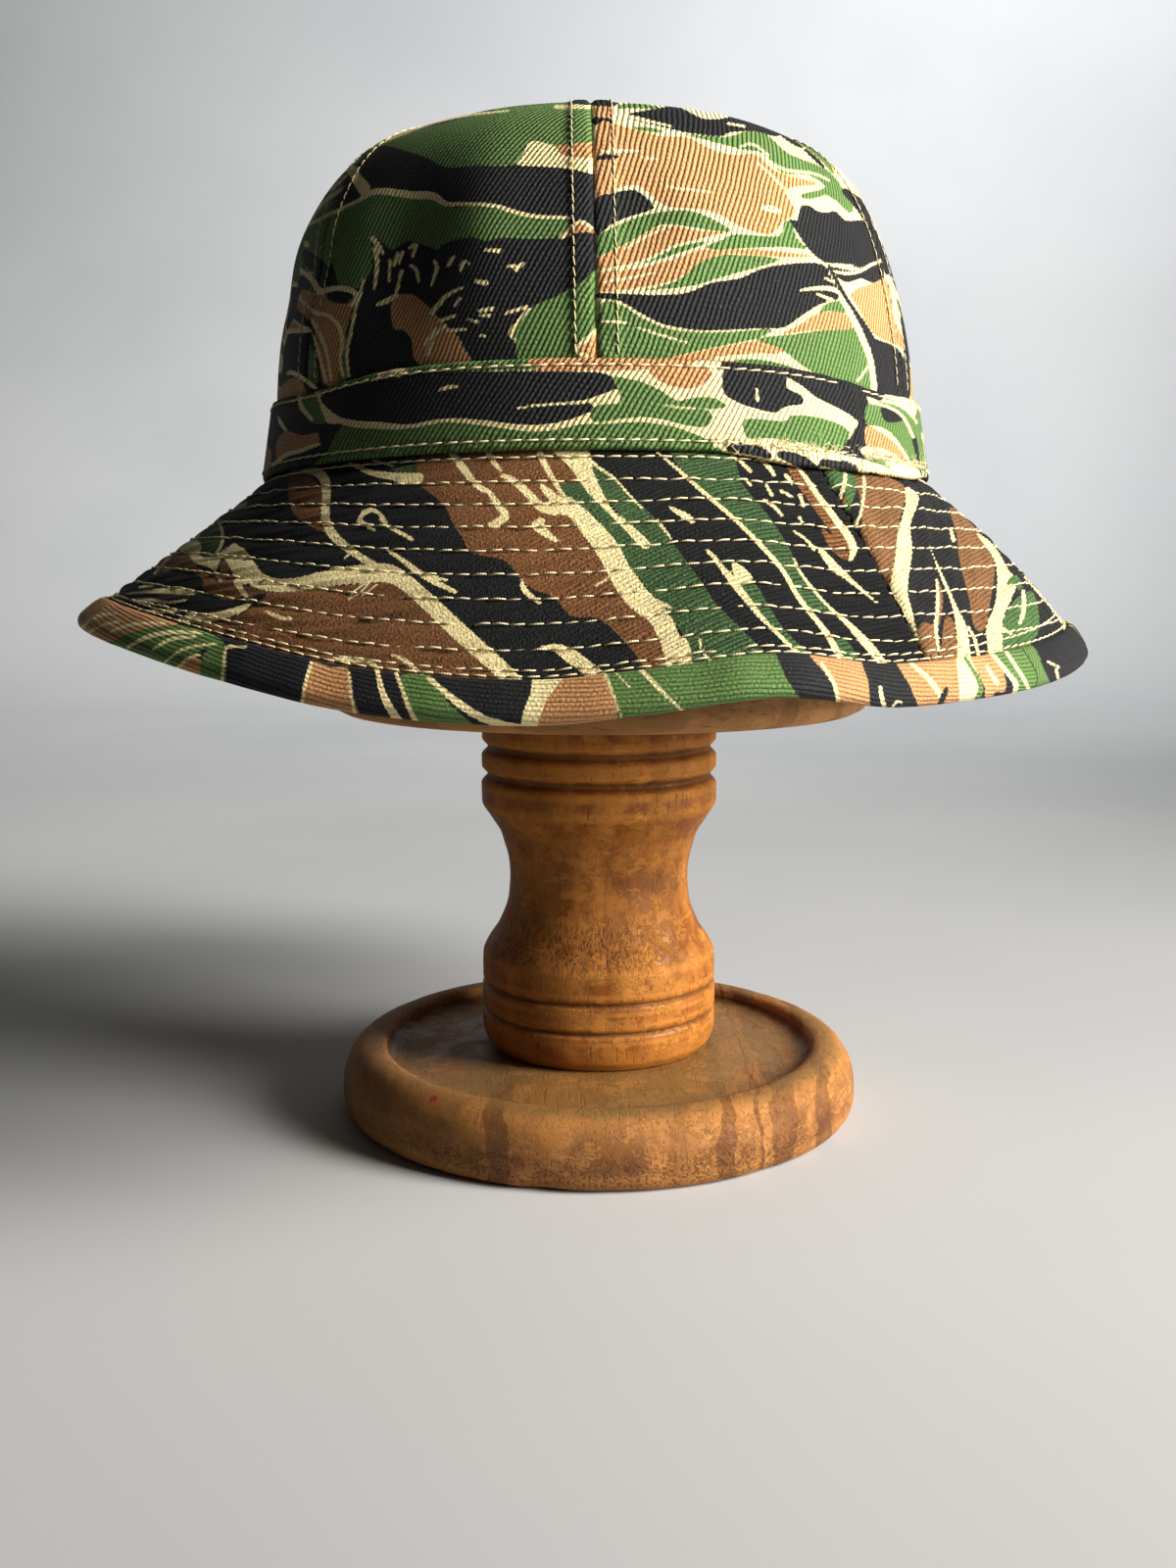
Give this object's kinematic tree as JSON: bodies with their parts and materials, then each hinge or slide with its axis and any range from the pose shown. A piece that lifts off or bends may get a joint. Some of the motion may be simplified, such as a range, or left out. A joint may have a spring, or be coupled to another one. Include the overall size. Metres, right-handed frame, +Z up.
{
  "type": "bucket hat on wooden stand",
  "caption": "Camouflage cotton bucket hat with panelled crown, band and stitched sloping brim, resting on a turned wooden stand with a dished foot.",
  "frame": {"origin": "centre of the stand's flat underside", "axes": "+Z up, the hat's front faces -Y and its wearer's left is +X"},
  "size_m": [0.2898, 0.2895, 0.2852],
  "materials": {
    "camouflage_twill": "matte cotton twill with a tiger stripe print",
    "turned_wood": "worn orange-brown stain, satin"
  },
  "bodies": {
    "root": {"crown_panel_front_right": "camouflage_twill", "crown_panel_right": "camouflage_twill", "crown_panel_back_right": "camouflage_twill", "crown_panel_back_left": "camouflage_twill", "crown_panel_left": "camouflage_twill", "crown_panel_front_left": "camouflage_twill", "hat_band": "camouflage_twill", "brim_front": "camouflage_twill", "brim_back": "camouflage_twill", "brim_binding": "camouflage_twill", "stand_base": "turned_wood", "stand_column": "turned_wood", "stand_block": "turned_wood"}
  },
  "joints": []
}
